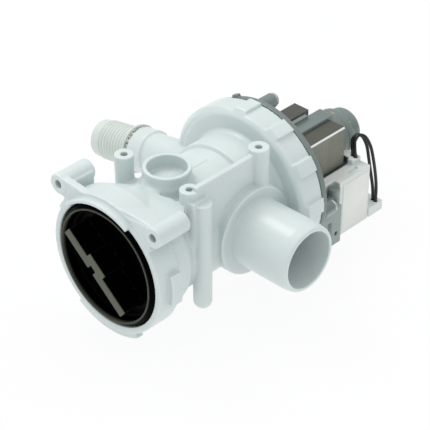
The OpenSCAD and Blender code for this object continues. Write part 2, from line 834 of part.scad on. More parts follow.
// Ring on the shaft with one wing, which drives the impeller's stop
module drive_dog() {
    dog_y = impeller_y + hub_front_t + 0.6;
    dog_h = impeller_h - hub_front_t - 1.2;
    color("gainsboro") place() difference() {
        union() {
            rod_y(dog_hub_r, dog_y, dog_h);
            ring_y(dog_hub_r - 0.6, dog_r, dog_y, dog_h, -dog_angle / 2, dog_angle);
        }
        rod_y(shaft_r + slip_gap / 2, dog_y - 1, dog_h + 2);
    }
}

// Radial-bladed impeller whose hollow hub turns about the dog until its stop meets the wing
module impeller() {
    disc_y = impeller_y + impeller_h - disc_t;
    color("whitesmoke") place() difference() {
        union() {
            rod_y(hub_r, impeller_y, impeller_h);
            rod_y(impeller_r, disc_y, disc_t);
            for (k = [0:blade_count - 1]) {
                rotate([0, k * 360 / blade_count, 0])
                    box([hub_r - 1, impeller_y, -blade_t / 2], [impeller_r, disc_y + 0.4, blade_t / 2]);
            }
        }
        rod_y(shaft_r + shaft_play, impeller_y - 1, impeller_h + 2);
        difference() {
            rod_y(hub_cavity_r, impeller_y + hub_front_t, impeller_h);
            ring_y(stop_in_r, hub_cavity_r + 1, impeller_y + hub_front_t - 1, impeller_h + 2,
                180 - dog_angle / 2, dog_angle);
        }
    }
}

module impeller_clip() {
    color("lightgray") place() ring_y(shaft_r + slip_gap / 2, shaft_r + 2.4, clip_y, clip_t);
}

module thrust_washer() {
    color("khaki") place() ring_y(shaft_r + slip_gap / 2, bush_r + 0.6, core_y - 1.4, 1.2);
}

// Outline of the inlet-side leg and its pole, from the yoke's underside round to the yoke's top
function core_side() = [
    [core_x, core_bottom_z], [core_x, core_z - pole_bevel], [core_x - pole_bevel, core_z],
    [pole_tip_x, core_z], [pole_tip_x, -pole_r * 0.6], [leg_in_x, -can_r], [leg_in_x, yoke_top_z]
];

module stator_core() {
    color([0.42, 0.38, 0.34]) place() difference() {
        slab_y(core_y, core_len) polygon(concat(
            core_side(),
            [for (k = [len(core_side()) - 1:-1:0]) [-core_side()[k][0], core_side()[k][1]]]
        ));
        rod_y(pole_r, core_y - 1, core_len + 2);
        at_rivets() rod_y(rivet_r + slip_gap, core_y - 1, core_len + 2);
    }
}

// Puts children at each rivet through the laminations
module at_rivets() {
    for (side = [-1, 1]) {
        translate([side * (core_x - 4), 0, core_z / 2]) children();
        translate([side * leg_in_x, 0, core_bottom_z + yoke_h / 2]) children();
    }
}

module core_rivets() {
    color("lightgray") place() at_rivets() {
        rod_y(rivet_r, core_y - rivet_head_h / 2, core_len + rivet_head_h);
        rod_y(rivet_head_r, core_y - rivet_head_h, rivet_head_h);
        rod_y(rivet_head_r, core_end_y, rivet_head_h);
    }
}

// Rectangular sleeve around the inlet-side leg, grown outwards from the leg
module leg_sleeve(grow_in, grow_out, low_z, high_z) {
    difference() {
        box([leg_in_x - grow_out, core_y - grow_out, low_z],
            [core_x + grow_out, core_end_y + grow_out, high_z]);
        box([leg_in_x - grow_in, core_y - grow_in, low_z - 1],
            [core_x + grow_in, core_end_y + grow_in, high_z + 1]);
    }
}

module coil_bobbin() {
    low = yoke_top_z + 0.4;
    leg_sleeve(fit_gap, bobbin_t, low, coil_top_z);
    leg_sleeve(fit_gap, bobbin_t + coil_t + 0.4, low, low + bobbin_t);
    leg_sleeve(fit_gap, bobbin_t + coil_t + 0.4, coil_top_z - bobbin_t, coil_top_z);
}

module coil_winding() {
    low = yoke_top_z + 0.4 + bobbin_t;
    leg_sleeve(bobbin_t + slip_gap, bobbin_t + coil_t, low + slip_gap, coil_top_z - bobbin_t - slip_gap);
}

module left_bobbin() {
    color("ivory") place() mirror([1, 0, 0]) coil_bobbin();
}

module right_bobbin() {
    color("ivory") place() coil_bobbin();
}

module left_winding() {
    color("peru") place() mirror([1, 0, 0]) coil_winding();
}

module right_winding() {
    color("peru") place() coil_winding();
}

module cover_block(inset) {
    box([-cover_x + inset, cover_front_y + inset, cover_bottom_z + inset],
        [cover_x - inset, cover_end_y - inset, cover_top_z - inset]);
}

// Corner cut that leaves room for the plate's peg
module cover_notch(grow) {
    box([cover_notch_x - grow, cover_front_y - 1, cover_notch_z - grow],
        [cover_x + 1, cover_notch_y + grow, cover_top_z + 1]);
}

module coil_cover() {
    color("whitesmoke") place() difference() {
        union() {
            cover_block(0);
            box([outlet_boss_x - outlet_boss_w / 2, cover_end_y - outlet_boss_d, cover_top_z - 1],
                [outlet_boss_x + outlet_boss_w / 2, cover_end_y - 0.6, outlet_boss_z]);
        }
        difference() {
            cover_block(cover_wall);
            cover_notch(cover_wall * 0.5);
        }
        cover_notch(0);
        rod_y(pole_r, cover_front_y - 1, cover_end_y - cover_front_y + 2);
        for (side = [-1, 1]) {
            low_x = side > 0 ? leg_in_x - 4 : -core_x - fit_gap;
            high_x = side > 0 ? core_x + fit_gap : -leg_in_x + 4;
            box([low_x, core_y - fit_gap, cover_top_z - cover_wall - 3],
                [high_x, core_end_y + fit_gap, cover_top_z + 1]);
            box([side * slot_x - 1, core_end_y - 6, cover_top_z - 1],
                [side * slot_x + 1, core_end_y + 2, cover_top_z + 1]);
        }
        for (k = [0, 1]) {
            translate(lead_from + k * lead_step - [0, 0, lead_hole_depth / 2]) {
                cylinder(r = lead_d / 2 + fit_gap, h = lead_hole_depth);
            }
        }
    }
}

module label() {
    color("oldlace") place() {
        box([cover_x, cover_notch_y + label_inset, cover_bottom_z + label_inset],
            [cover_x + label_t, cover_end_y - label_inset / 2, cover_top_z - label_inset]);
    }
}

// Connector shell behind the cover, open to the rear around its two tabs
module connector_block() {
    low = [connector_x, cover_end_y, connector_z];
    high = low + [connector_w, connector_d, connector_h];
    wall = connector_wall;
    color("white") place() difference() {
        box(low, high);
        box(low + [wall, connector_d - socket_depth, wall], high + [-wall, 1, -wall - 1]);
        for (k = [0, 1]) {
            translate(lead_to + k * lead_step - [0, 0, 0.3]) cylinder(r = lead_d / 2 + fit_gap, h = 4);
        }
    }
}

module terminal_tabs() {
    mid = [connector_x + connector_w / 2, cover_end_y + connector_d - socket_depth,
        connector_z + connector_h / 2 - 0.5];
    color("gold") place() {
        for (side = [-1, 1]) {
            at = side * (tab_w / 2 + tab_gap);
            box(mid + [at - tab_w / 2, 0, -tab_t / 2], mid + [at + tab_w / 2, socket_depth - 1.5, tab_t / 2]);
        }
    }
}

// A point of a smooth curve through four points, at a share of the middle span
function smooth_point(a, b, c, d, t) =
    0.5 * (2 * b + (c - a) * t + (2 * a - 5 * b + 4 * c - d) * t * t + (3 * b - a - 3 * c + d) * t * t * t);

function smooth_route(pts, between) = let (last = len(pts) - 1) concat(
    [for (k = [0:last - 1], j = [0:between])
        smooth_point(pts[max(k - 1, 0)], pts[k], pts[k + 1], pts[min(k + 2, last)], j / (between + 1))],
    [pts[last]]
);

function unit(v) = v / norm(v);

// A round tube along a route, closed at both ends
module sweep_tube(route, r, sides) {
    last = len(route) - 1;
    heading = [for (k = [0:last]) unit(route[min(k + 1, last)] - route[max(k - 1, 0)])];
    across = [for (h = heading) unit(cross(h, [0.9, -0.4, 0.1]))];
    points = [for (k = [0:last], s = [0:sides - 1])
        let (turn = s * 360 / sides)
        route[k] + r * (cos(turn) * across[k] + sin(turn) * cross(heading[k], across[k]))];
    walls = [for (k = [0:last - 1], s = [0:sides - 1], half = [0, 1])
        let (a = k * sides + s, b = k * sides + (s + 1) % sides)
        half == 0 ? [a, b, b + sides] : [a, b + sides, a + sides]];
    front = [for (s = [1:sides - 2]) [0, s + 1, s]];
    back = [for (s = [1:sides - 2]) [last * sides, last * sides + s, last * sides + s + 1]];
    polyhedron(points, [for (f = concat(walls, front, back)) [f[2], f[1], f[0]]]);
}

module leads() {
    color([0.08, 0.08, 0.08]) place() {
        for (k = [0, 1]) {
            route = [for (n = [0:len(lead_route) - 1]) lead_route[n] + k * lead_apart[n] * lead_step];
            sweep_tube(smooth_route(route, lead_rings_between), lead_d / 2, lead_sides);
        }
    }
}

pump_housing();
outlet_spigot();
outlet_retaining_ring();
outlet_seal();
filter_cap();
filter_basket();
cap_seal();
motor_plate();
plate_seal();
plate_screws();
bearing_plate();
front_bush();
rear_bush();
rear_bush_holder();
rotor_shaft();
rotor_magnet();
drive_dog();
impeller();
impeller_clip();
thrust_washer();
stator_core();
core_rivets();
left_bobbin();
right_bobbin();
left_winding();
right_winding();
coil_cover();
label();
connector_block();
terminal_tabs();
leads();
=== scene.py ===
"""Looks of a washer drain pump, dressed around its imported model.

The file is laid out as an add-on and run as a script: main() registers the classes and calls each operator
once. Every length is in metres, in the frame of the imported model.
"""

import json
import math

import bmesh
import bpy
import numpy as np
from bpy.props import FloatProperty, FloatVectorProperty, IntProperty, PointerProperty
from bpy.types import Operator, Panel, PropertyGroup
from mathutils import Matrix, Vector


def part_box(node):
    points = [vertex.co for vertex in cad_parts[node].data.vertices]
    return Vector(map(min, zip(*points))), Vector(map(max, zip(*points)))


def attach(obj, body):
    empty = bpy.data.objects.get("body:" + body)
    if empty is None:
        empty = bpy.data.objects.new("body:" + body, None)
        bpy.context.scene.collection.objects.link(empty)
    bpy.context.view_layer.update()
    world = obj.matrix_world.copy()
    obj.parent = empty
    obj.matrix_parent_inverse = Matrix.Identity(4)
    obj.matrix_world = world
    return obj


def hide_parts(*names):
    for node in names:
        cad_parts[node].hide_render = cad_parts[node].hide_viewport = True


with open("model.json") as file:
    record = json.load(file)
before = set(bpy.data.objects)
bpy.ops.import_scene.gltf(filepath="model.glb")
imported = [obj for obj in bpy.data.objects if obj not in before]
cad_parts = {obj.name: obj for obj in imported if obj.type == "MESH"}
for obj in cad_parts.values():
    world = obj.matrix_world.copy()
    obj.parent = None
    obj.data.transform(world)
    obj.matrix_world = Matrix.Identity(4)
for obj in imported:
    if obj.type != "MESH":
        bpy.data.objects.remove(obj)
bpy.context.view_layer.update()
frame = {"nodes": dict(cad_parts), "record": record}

bl_info = {
    "name": "Washer drain pump looks",
    "version": (1, 0, 0),
    "blender": (4, 5, 0),
    "location": "View3D > Sidebar > Drain pump",
    "description": "Dresses the packed model of a washer drain pump with moulded shapes and finishes",
    "category": "Object",
}

MM = 0.001
WELD = 0.001 * MM
BODY = "pump_body"
HOOD_REACH = 3 * MM
MOUNTS = {mount["name"]: mount for mount in frame["record"]["mounts"]}
shaft_low, shaft_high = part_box("rotor_shaft")
MOUTH = Vector((
    (shaft_low.x + shaft_high.x) / 2,
    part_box("pump_housing")[0].y + HOOD_REACH,
    (shaft_low.z + shaft_high.z) / 2,
))


def from_mouth(x, y, z):
    """A point given in millimetres from the middle of the filter mouth."""
    return MOUTH + Vector((x, y, z)) * MM


def mount_place(name):
    """A mount's place in millimetres from the middle of the filter mouth."""
    return (Vector(MOUNTS[name]["pos_m"]) - MOUTH) / MM


# Sizes and colours


def colour_prop(name, description, default):
    return FloatVectorProperty(
        name=name, description=description, default=default, size=3, min=0, max=1, subtype="COLOR"
    )


def number_prop(name, description, default, **limits):
    return FloatProperty(name=name, description=description, default=default, **limits)


def length_prop(name, description, default):
    return number_prop(name, description, default, min=0, unit="LENGTH")


def count_prop(name, description, default, least=0):
    return IntProperty(name=name, description=description, default=default, min=least)


class PumpSizes(PropertyGroup):
    """Sizes of the moulded detail."""

    housing_cell: length_prop("Housing cell", "Cell of the housing's moulded surface", 0.5 * MM)
    spigot_cell: length_prop("Spigot cell", "Cell of the outlet spigot's surface", 0.3 * MM)
    cap_cell: length_prop("Cap cell", "Cell of the filter cap's surface", 0.4 * MM)
    motor_cell: length_prop("Motor cell", "Cell of the motor plate's surface", 0.45 * MM)
    cover_cell: length_prop("Cover cell", "Cell of the coil cover's surface", 0.4 * MM)
    small_cell: length_prop("Small cell", "Cell of screws, rivets, leads and the connector", 0.2 * MM)
    round_steps: count_prop("Rounding", "Rounding steps on moulded edges", 5)
    fillet_steps: count_prop("Fillets", "Extra steps at moulded fillets", 44)
    sheet_pitch: length_prop("Sheet pitch", "Pitch of the stator's steel sheets", 0.75 * MM)
    sheet_groove: length_prop("Sheet groove", "Depth of the groove between two sheets", 0.03 * MM)
    seam_width: length_prop("Seam width", "Width of the mould's parting line", 0.6 * MM)
    lip_rise: length_prop("Lip rise", "Height of the fine lip round the cap's dish", 0.45 * MM)
    ring_teeth: count_prop("Ring teeth", "Teeth of the outlet's lock ring", 30, least=3)


class PumpColours(PropertyGroup):
    """Colours of the finishes."""

    housing: colour_prop("Housing", "Cool white of the housing", (0.73, 0.795, 0.78))
    spigot: colour_prop("Spigot", "Warmer white of the outlet spigot", (0.74, 0.79, 0.735))
    cap: colour_prop("Cap", "Black of the filter cap", (0.0008, 0.0008, 0.0008))
    # The grip's grey is a painted sheen on a rougher satin front; the cap's painted edge and lip highlights
    # use it too
    grip: colour_prop("Grip", "Grey of the rubbed front of the grip", (0.17, 0.175, 0.143))
    motor: colour_prop("Motor", "Grey of the motor plate and can", (0.205, 0.245, 0.232))
    stack: colour_prop("Stack", "Varnished steel of the stator", (0.29, 0.29, 0.24))
    cover: colour_prop("Cover", "White of the coil cover", (0.82, 0.845, 0.82))
    label: colour_prop("Label", "Cream of the bare label", (0.90, 0.905, 0.86))
    lead: colour_prop("Lead", "Black of the leads", (0.008, 0.008, 0.007))
    steel: colour_prop("Steel", "Zinc of screws and rivets", (0.62, 0.63, 0.61))


class PumpStage(PropertyGroup):
    """Floor, light and camera."""

    floor: colour_prop("Floor", "Colour of the floor", (0.93, 0.93, 0.93))
    floor_glow: number_prop("Floor glow", "Share of the floor that glows white", 0.75)
    sky_top: number_prop("Sky top", "Strength of the soft light overhead", 1.12, min=0)
    sky_side: number_prop("Sky side", "Strength of the soft light all round", 0.42, min=0)
    key: number_prop("Key", "Power of the lamp at the upper left", 5.4, min=0, unit="POWER")
    azimuth: number_prop("Azimuth", "Camera's turn", math.radians(43.8), subtype="ANGLE")
    height: number_prop("Height", "Camera's rise", math.radians(34.8), subtype="ANGLE")
    lens: number_prop("Lens", "Focal length in millimetres", 142.33, min=1)
    distance: length_prop("Distance", "Camera's distance from the filter mouth", 858.6 * MM)
    aside: length_prop("Aside", "How far the camera's axis passes to the right of the mouth", 54.95 * MM)
    above: length_prop("Above", "How far the camera's axis passes above the mouth", 25.76 * MM)


def sizes():
    return bpy.context.scene.pump_sizes


def colours():
    return bpy.context.scene.pump_colours


# Meshes


ROUND_SHARES = (0.55, -0.57)
SOFT_SHARE = 0.5


def new_object(name, mesh):
    obj = bpy.data.objects.new(name, mesh)
    bpy.context.scene.collection.objects.link(obj)
    return obj


def node_mesh(node):
    """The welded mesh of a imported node, as a new bmesh."""
    bm = bmesh.new()
    bm.from_mesh(frame["nodes"][node].data)
    bmesh.ops.remove_doubles(bm, verts=bm.verts, dist=WELD)
    return bm


def bm_object(bm, name):
    mesh = bpy.data.meshes.new(name)
    bm.to_mesh(mesh)
    bm.free()
    return new_object(name, mesh)


def read_points(mesh):
    co = np.empty(len(mesh.vertices) * 3, np.float32)
    mesh.vertices.foreach_get("co", co)
    return co.reshape(-1, 3).astype(float)


def write_points(mesh, co):
    mesh.vertices.foreach_set("co", co.astype(np.float32).ravel())
    mesh.update()


def read_edges(mesh):
    edges = np.empty(len(mesh.edges) * 2, np.int32)
    mesh.edges.foreach_get("vertices", edges)
    return edges.reshape(-1, 2)


def pull(co, edges, count, share):
    """Moves each point a share of the way to the mean of its neighbours."""
    total = np.empty_like(co)
    for axis in range(3):
        column = co[:, axis]
        total[:, axis] = np.bincount(edges[:, 0], column[edges[:, 1]], len(co))
        total[:, axis] += np.bincount(edges[:, 1], column[edges[:, 0]], len(co))
    return co + share * (total / count[:, None] - co)


def smooth(mesh, steps, soft=None, soft_steps=0):
    """Rounds a dense mesh without shrinking it, then softens where the weights say so."""
    co, edges = read_points(mesh), read_edges(mesh)
    count = np.maximum(np.bincount(edges.ravel(), minlength=len(co)), 1)
    for _ in range(steps):
        for share in ROUND_SHARES:
            co = pull(co, edges, count, share)
    if soft is not None:
        weight = soft(co)[:, None]
        for _ in range(soft_steps):
            co = pull(co, edges, count, SOFT_SHARE * weight)
    write_points(mesh, co)


def moulded(node, name, cell, steps, soft=None, soft_steps=0, shape=None):
    """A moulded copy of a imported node: an even dense skin with its edges rounded, then shaped further."""
    obj = bm_object(node_mesh(node), name)
    skin = obj.modifiers.new("skin", "REMESH")
    skin.mode = "VOXEL"
    skin.voxel_size = cell
    shaped = obj.evaluated_get(bpy.context.evaluated_depsgraph_get())
    obj.data = bpy.data.meshes.new_from_object(shaped)
    obj.modifiers.clear()
    obj.data.name = name
    smooth(obj.data, steps, soft, soft_steps)
    if shape:
        write_points(obj.data, shape(read_points(obj.data)))
    obj.data.shade_smooth()
    return obj


def skin_rings(bm, rings):
    """Faces between rings of points, with both ends closed."""
    sides = len(rings[0])
    for first, second in zip(rings, rings[1:]):
        for s in range(sides):
            t = (s + 1) % sides
            bm.faces.new((first[s], first[t], second[t], second[s]))
    bm.faces.new(rings[0])
    bm.faces.new(reversed(rings[-1]))
    bmesh.ops.recalc_face_normals(bm, faces=bm.faces)


def settle(obj, body, slot, material, *nodes):
    """Gives a new piece its body and finish, and hides the imported nodes it stands for; the slot is not
    used.
    """
    obj.data.materials.clear()
    obj.data.materials.append(material)
    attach(obj, body)
    if nodes:
        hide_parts(*nodes)
    return obj


def dress(material, *nodes):
    """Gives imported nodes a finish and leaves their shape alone."""
    for node in nodes:
        data = frame["nodes"][node].data
        data.materials.clear()
        data.materials.append(material)


def ramp(value, low, high):
    """0 below low, 1 above high and smooth between."""
    share = np.clip((value - low) / (high - low), 0, 1)
    return share * share * (3 - 2 * share)


def inside(value, low, high, edge):
    return ramp(value, low - edge, low) * (1 - ramp(value, high, high + edge))


# Shader groups


CLOUD_SCALE = 45
CLOUD_SPAN = (0.32, 0.68)
GRAIN_SPAN = (0.35, 0.65)
FLAT_POINT = (0.495, 0.505)
LINE_SPAN = (0.02, 0.2)
STREAK_SCALE = (900, 160, 900)
STREAK_SPAN = (0.3, 0.7)
PIT_SCALE = 700
PIT_SPAN = (0.35, 0.7)
PIT_ROUGHNESS = 0.2


def add(tree, kind, **values):
    node = tree.nodes.new(kind)
    for key, value in values.items():
        setattr(node, key, value)
    return node


def wire(tree, source, target):
    tree.links.new(source, target)


def new_group(name, inputs, outputs):
    tree = bpy.data.node_groups.new(name, "ShaderNodeTree")
    for label, value in inputs.items():
        socket = tree.interface.new_socket(label, in_out="INPUT", socket_type="NodeSocketFloat")
        socket.default_value = value
    for label, kind in outputs.items():
        tree.interface.new_socket(label, in_out="OUTPUT", socket_type=kind)
    return tree, add(tree, "NodeGroupInput"), add(tree, "NodeGroupOutput")


def noise(tree, coordinates, scale, detail):
    node = add(tree, "ShaderNodeTexNoise")
    node.inputs["Detail"].default_value = detail
    if isinstance(scale, (int, float)):
        node.inputs["Scale"].default_value = scale
    else:
        wire(tree, scale, node.inputs["Scale"])
    wire(tree, coordinates, node.inputs["Vector"])
    return node.outputs["Fac"]


def math_node(tree, operation, first, second):
    node = add(tree, "ShaderNodeMath", operation=operation)
    for socket, value in zip(node.inputs, (first, second)):
        if isinstance(value, (int, float)):
            socket.default_value = value
        else:
            wire(tree, value, socket)
    return node.outputs[0]


def spread(tree, value, low, high, to_low, to_high):
    """Maps a value from one span to another, held at the ends."""
    node = add(tree, "ShaderNodeMapRange")
    wire(tree, value, node.inputs["Value"])
    for label, end in zip(("From Min", "From Max", "To Min", "To Max"), (low, high, to_low, to_high)):
        if isinstance(end, (int, float)):
            node.inputs[label].default_value = end
        else:
            wire(tree, end, node.inputs[label])
    return node.outputs["Result"]


def object_place(tree):
    return add(tree, "ShaderNodeTexCoord").outputs["Object"]


def axes_of(tree, vector):
    """The X, Y and Z sockets of a vector."""
    split = add(tree, "ShaderNodeSeparateXYZ")
    wire(tree, vector, split.inputs[0])
    return split.outputs


def grey_of(tree, value):
    """A colour with one value in every channel."""
    node = add(tree, "ShaderNodeCombineColor")
    for channel in ("Red", "Green", "Blue"):
        wire(tree, value, node.inputs[channel])
    return node.outputs["Color"]


def product(tree, *values):
    result = values[0]
    for value in values[1:]:
        result = math_node(tree, "MULTIPLY", result, value)
    return result


def make_grain():
    """Fine moulding grain with slow clouds of tint."""
    tree, given, result = new_group(
        "moulded_grain",
        {"Grain": 1500, "Cloud": 0.05, "Rough": 0.4, "Rough Spread": 0.06},
        {"Tint": "NodeSocketColor", "Roughness": "NodeSocketFloat", "Height": "NodeSocketFloat"},
    )
    place = object_place(tree)
    fine = noise(tree, place, given.outputs["Grain"], detail=2)
    cloud = noise(tree, place, CLOUD_SCALE, detail=3)
    low = math_node(tree, "SUBTRACT", 1, given.outputs["Cloud"])
    wire(tree, grey_of(tree, spread(tree, cloud, *CLOUD_SPAN, low, 1)), result.inputs["Tint"])
    rough_low = math_node(tree, "SUBTRACT", given.outputs["Rough"], given.outputs["Rough Spread"])
    rough_high = math_node(tree, "ADD", given.outputs["Rough"], given.outputs["Rough Spread"])
    mean = product(tree, math_node(tree, "ADD", fine, cloud), 0.5)
    wire(tree, spread(tree, mean, *GRAIN_SPAN, rough_low, rough_high), result.inputs["Roughness"])
    wire(tree, fine, result.inputs["Height"])
    return tree


def make_edges():
    """Masks of edges and creases from the mesh's pointiness, for painted edge highlights and painted crease
    shade.
    """
    tree, given, result = new_group(
        "edges_and_creases",
        {"Reach": 0.06},
        {"Edge": "NodeSocketFloat", "Crease": "NodeSocketFloat"},
    )
    point = add(tree, "ShaderNodeNewGeometry").outputs["Pointiness"]
    hollow, proud = FLAT_POINT
    top = math_node(tree, "ADD", proud, given.outputs["Reach"])
    foot = math_node(tree, "SUBTRACT", hollow, given.outputs["Reach"])
    wire(tree, spread(tree, point, proud, top, 0, 1), result.inputs["Edge"])
    wire(tree, spread(tree, point, foot, hollow, 1, 0), result.inputs["Crease"])
    return tree


def make_lines():
    """Even lines along the pump's axis, for stacked sheets and wound wire."""
    tree, given, result = new_group(
        "even_lines",
        {"Lines": 1333, "Unevenness": 0.3},
        {"Line": "NodeSocketFloat", "Tone": "NodeSocketFloat", "Height": "NodeSocketFloat"},
    )
    along = product(tree, axes_of(tree, object_place(tree))["Y"], given.outputs["Lines"])
    saw = math_node(tree, "FRACT", along, 0)
    peak = math_node(tree, "PINGPONG", saw, 0.5)
    wire(tree, spread(tree, peak, *LINE_SPAN, 1, 0), result.inputs["Line"])
    wire(tree, peak, result.inputs["Height"])
    sheet = math_node(tree, "FLOOR", along, 0)
    pick = add(tree, "ShaderNodeTexWhiteNoise", noise_dimensions="1D")
    wire(tree, sheet, pick.inputs["W"])
    low = math_node(tree, "SUBTRACT", 1, given.outputs["Unevenness"])
    wire(tree, spread(tree, pick.outputs["Value"], 0, 1, low, 1), result.inputs["Tone"])
    return tree


def make_streaks():
    """Drawn streaks and small pits of plated metal."""
    tree, given, result = new_group(
        "metal_streaks",
        {"Streak": 0.2, "Rough": 0.32},
        {"Tint": "NodeSocketColor", "Roughness": "NodeSocketFloat", "Height": "NodeSocketFloat"},
    )
    place = object_place(tree)
    stretch = add(tree, "ShaderNodeMapping")
    stretch.inputs["Scale"].default_value = STREAK_SCALE
    wire(tree, place, stretch.inputs["Vector"])
    drawn = noise(tree, stretch.outputs["Vector"], 1, detail=3)
    pits = noise(tree, place, PIT_SCALE, detail=4)
    low = math_node(tree, "SUBTRACT", 1, given.outputs["Streak"])
    wire(tree, grey_of(tree, spread(tree, drawn, *STREAK_SPAN, low, 1)), result.inputs["Tint"])
    high = math_node(tree, "ADD", given.outputs["Rough"], PIT_ROUGHNESS)
    wire(tree, spread(tree, pits, *PIT_SPAN, given.outputs["Rough"], high), result.inputs["Roughness"])
    wire(tree, pits, result.inputs["Height"])
    return tree


GROUPS = {
    "moulded_grain": make_grain,
    "edges_and_creases": make_edges,
    "even_lines": make_lines,
    "metal_streaks": make_streaks,
}


def place_group(tree, name, **values):
    """A node of a shared group with its own values. The group is built when it is first needed."""
    made = bpy.data.node_groups.get(name) or GROUPS[name]()
    node = add(tree, "ShaderNodeGroup", node_tree=made)
    for label, value in values.items():
        node.inputs[label.replace("_", " ")].default_value = value
    return node


# Finishes


# Tints of the painted shade in recesses and creases, and the share of the painted edge highlight
RECESS_SHADE_TINT = (0.38, 0.45, 0.48)
CREASE_SHADE_TINT = 0.55
EDGE_HIGHLIGHT_SHARE = 0.6
METAL_CREASE_SHADE = 0.5
METAL_CREASE_SHADE_TINT = 0.35
GRAIN_DEPTH = 0.05 * MM
PIT_DEPTH = 0.03 * MM
LINE_DEPTH = 0.1 * MM
LINE_BUMP = 0.3
OPEN_RAYS = 6
TOP_LEAN = (0.75, 0.95)
# Spans of the painted grey sheen on the grip and of the painted grey highlight on the lip, and how the grain
# breaks them up
GRIP_SHEEN = (0.35, 0.9)
LIP_SHEEN_INSIDE = (-0.7, -0.5)
LIP_SHEEN_OUTSIDE = (0.9, 1.2)
LIP_SHEEN_DEPTH = (0.5, 2.2)
LIP_SHEEN_SHARE = 0.7
SHEEN_BREAKUP_SPAN = (0.3, 0.7)
SHEEN_BREAKUP_LEAST = 0.75
SATIN_ROUGHNESS = 0.55
# Share and tint of the painted grey highlight on the cap's edges
CAP_EDGE_HIGHLIGHT_SHARE = 0.15
CAP_EDGE_HIGHLIGHT_TINT = 0.4


def tinted(colour, share):
    return [min(c * share, 1) for c in colour]


def blend(tree, kind, factor, first, second):
    """A colour mix. Colours are given as sockets or as plain values."""
    node = add(tree, "ShaderNodeMix", data_type="RGBA", blend_type=kind)
    sockets = [s for s in node.inputs if s.enabled]
    for socket, value in zip(sockets, (factor, first, second)):
        if isinstance(value, bpy.types.NodeSocket):
            wire(tree, value, socket)
        elif isinstance(value, (int, float)):
            socket.default_value = value
        else:
            socket.default_value = (*value, 1)
    return next(s for s in node.outputs if s.enabled)


def start_finish(name, **sockets):
    """A material with its Principled shader, whose even values are set on the sockets."""
    material = bpy.data.materials.new(name)
    material.use_nodes = True
    tree = material.node_tree
    shader = tree.nodes["Principled BSDF"]
    for label, value in sockets.items():
        shader.inputs[label.replace("_", " ")].default_value = value
    return material, tree, shader


def add_bump(tree, shader, height, strength, depth):
    bump = add(tree, "ShaderNodeBump")
    bump.inputs["Strength"].default_value = strength
    bump.inputs["Distance"].default_value = depth
    wire(tree, height, bump.inputs["Height"])
    wire(tree, bump.outputs["Normal"], shader.inputs["Normal"])


def recess(tree, reach):
    """How closed in a place is by its own piece, from 0 in the open."""
    node = add(tree, "ShaderNodeAmbientOcclusion", samples=OPEN_RAYS, only_local=True)
    node.inputs["Distance"].default_value = reach
    return math_node(tree, "SUBTRACT", 1, node.outputs["AO"])


def surface(tree, shader, base, roughness, height, strength, depth):
    """Wires colour, roughness and bump into a finish."""
    wire(tree, base, shader.inputs["Base Color"])
    wire(tree, roughness, shader.inputs["Roughness"])
    add_bump(tree, shader, height, strength, depth)


def plastic(
    name, colour, grain=1500, cloud=0.05, rough=0.4, bump=0.12, edge=None, crease_shade=0.25,
    recess_shade=0.0, recess_shade_reach=0.0, part=None, part_tint=1.0,
):
    """Moulded plastic, rubber or paper: grain, slow clouds, painted highlights on edges, painted shade in
    creases and painted shade in recesses.

    A part is a mask for a place with a tint of its own.
    """
    material, tree, shader = start_finish(name)
    skin = place_group(tree, "moulded_grain", Grain=grain, Cloud=cloud, Rough=rough, Rough_Spread=0.06)
    marks = place_group(tree, "edges_and_creases", Reach=0.07)
    base = blend(tree, "MULTIPLY", 1.0, colour, skin.outputs["Tint"])
    # Painted shade: creases are darkened
    shade_in_crease = product(tree, marks.outputs["Crease"], crease_shade)
    base = blend(tree, "MIX", shade_in_crease, base, tinted(colour, CREASE_SHADE_TINT))
    # Painted highlight: convex edges are lightened towards the edge colour
    if edge:
        base = blend(tree, "MIX", product(tree, marks.outputs["Edge"], EDGE_HIGHLIGHT_SHARE), base, edge)
    if part:
        base = blend(tree, "MIX", part(tree), base, tinted(colour, part_tint))
    # Painted shade: places closed in by the piece itself are darkened and turned bluer
    if recess_shade:
        shade_share = product(tree, recess(tree, recess_shade_reach), recess_shade)
        base = blend(tree, "MIX", shade_share, base, [c * share for c, share in zip(colour, RECESS_SHADE_TINT)])
    surface(tree, shader, base, skin.outputs["Roughness"], skin.outputs["Height"], bump, GRAIN_DEPTH)
    return material


def metal(name, colour, streak=0.2, rough=0.32, bump=0.15, metallic=1.0):
    """Plated or drawn metal with streaks, pits and painted shade in its creases."""
    material, tree, shader = start_finish(name, Metallic=metallic)
    drawn = place_group(tree, "metal_streaks", Streak=streak, Rough=rough)
    marks = place_group(tree, "edges_and_creases", Reach=0.08)
    base = blend(tree, "MULTIPLY", 1.0, colour, drawn.outputs["Tint"])
    # Painted shade: creases are darkened
    shade_in_crease = product(tree, marks.outputs["Crease"], METAL_CREASE_SHADE)
    base = blend(tree, "MIX", shade_in_crease, base, tinted(colour, METAL_CREASE_SHADE_TINT))
    surface(tree, shader, base, drawn.outputs["Roughness"], drawn.outputs["Height"], bump, PIT_DEPTH)
    return material


def up_facing(tree):
    """1 on faces that look up, 0 on upright ones."""
    normal = add(tree, "ShaderNodeNewGeometry").outputs["Normal"]
    return spread(tree, axes_of(tree, normal)["Z"], *TOP_LEAN, 0, 1)


